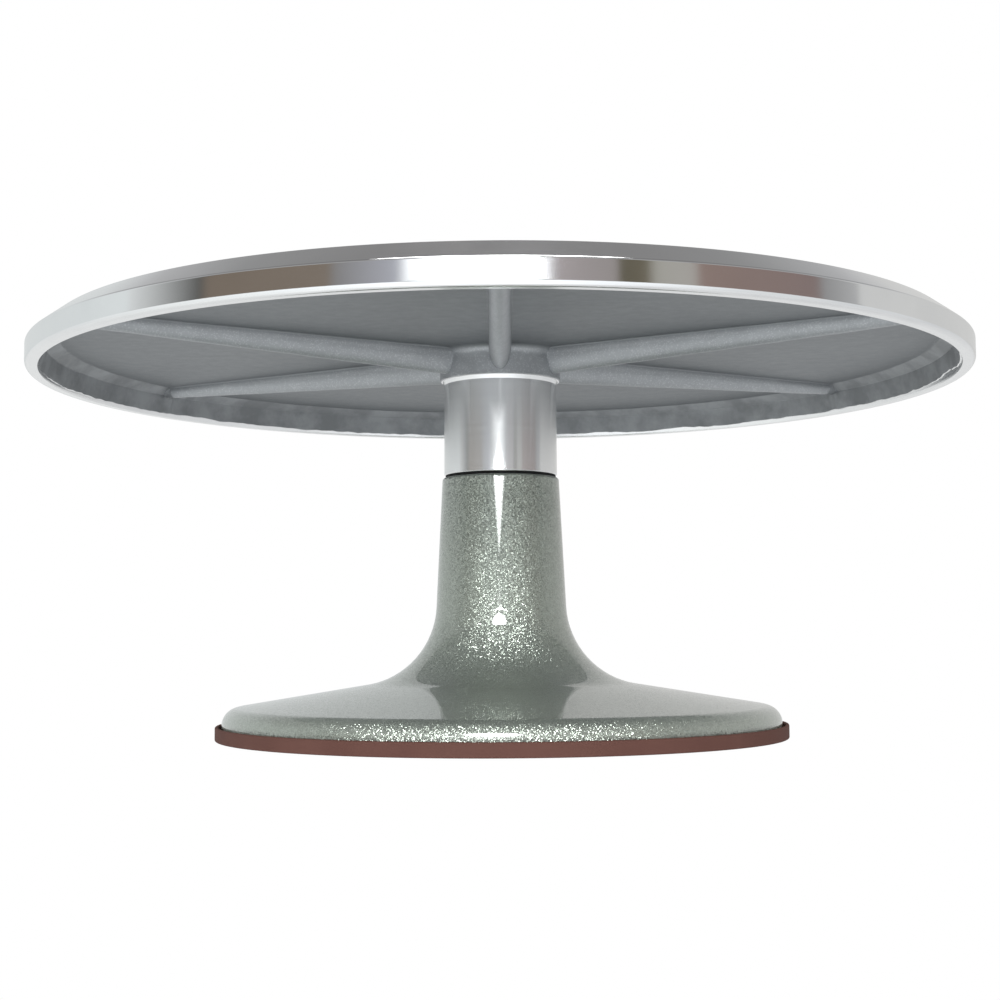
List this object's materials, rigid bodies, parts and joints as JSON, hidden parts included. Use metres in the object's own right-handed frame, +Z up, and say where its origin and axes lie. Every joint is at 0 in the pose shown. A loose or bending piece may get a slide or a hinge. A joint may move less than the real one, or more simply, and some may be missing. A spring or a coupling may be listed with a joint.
{
  "type": "cake turntable",
  "caption": "Round cast plate with a bevelled rim and ribs below, spinning freely on a trumpet-shaped painted pedestal with a rubber-edged foot.",
  "frame": {"origin": "centre of the foot pad's underside, on the spin axis", "axes": "+Z up along the spin axis, -Y towards the front, along one of the ribs"},
  "size_m": [0.305, 0.305, 0.1294],
  "materials": {
    "cast_aluminium": "sand cast below, turned and polished rim and top",
    "turned_aluminium": "bright turned",
    "glitter_paint": "metallic flake paint under clear gloss",
    "brown_rubber": "matte moulded",
    "black_rubber": "matte moulded",
    "bearing_steel": "ground and polished",
    "shield_steel": "pressed sheet",
    "spindle_steel": "fine turned",
    "zinc_steel": "zinc plated",
    "spring_steel": "black oxide",
    "nylon": "moulded"
  },
  "bodies": {
    "pedestal": {"pedestal_casting": "glitter_paint", "foot_pad": "brown_rubber", "housing_retaining_ring": "spring_steel", "upper_bearing_outer_ring": "bearing_steel", "upper_bearing_shields": "shield_steel", "lower_bearing_outer_ring": "bearing_steel", "lower_bearing_shields": "shield_steel"},
    "turntable": {"turntable_plate": "cast_aluminium", "collar_sleeve": "turned_aluminium", "spindle": "spindle_steel", "dust_seal": "black_rubber", "bearing_spacer_tube": "zinc_steel", "spindle_washer": "zinc_steel", "spindle_nut": "zinc_steel", "nut_insert": "nylon", "upper_bearing_inner_ring": "bearing_steel", "lower_bearing_inner_ring": "bearing_steel"},
    "upper_ball_set": {"upper_bearing_balls": "bearing_steel", "upper_bearing_cage": "nylon"},
    "lower_ball_set": {"lower_bearing_balls": "bearing_steel", "lower_bearing_cage": "nylon"}
  },
  "joints": [
    {"name": "turntable_spin", "type": "hinge", "parent": "pedestal", "child": "turntable", "pos_m": [0, 0, 0.0792], "axis": [0, 0, 1], "continuous": true},
    {"name": "upper_ball_set_spin", "type": "hinge", "parent": "pedestal", "child": "upper_ball_set", "pos_m": [0, 0, 0.0792], "axis": [0, 0, 1], "continuous": true},
    {"name": "lower_ball_set_spin", "type": "hinge", "parent": "pedestal", "child": "lower_ball_set", "pos_m": [0, 0, 0.0415], "axis": [0, 0, 1], "continuous": true}
  ],
  "couplings": [
    {"joint": "upper_ball_set_spin", "follows": "turntable_spin", "ratio": 0.3987},
    {"joint": "lower_ball_set_spin", "follows": "turntable_spin", "ratio": 0.3987}
  ]
}
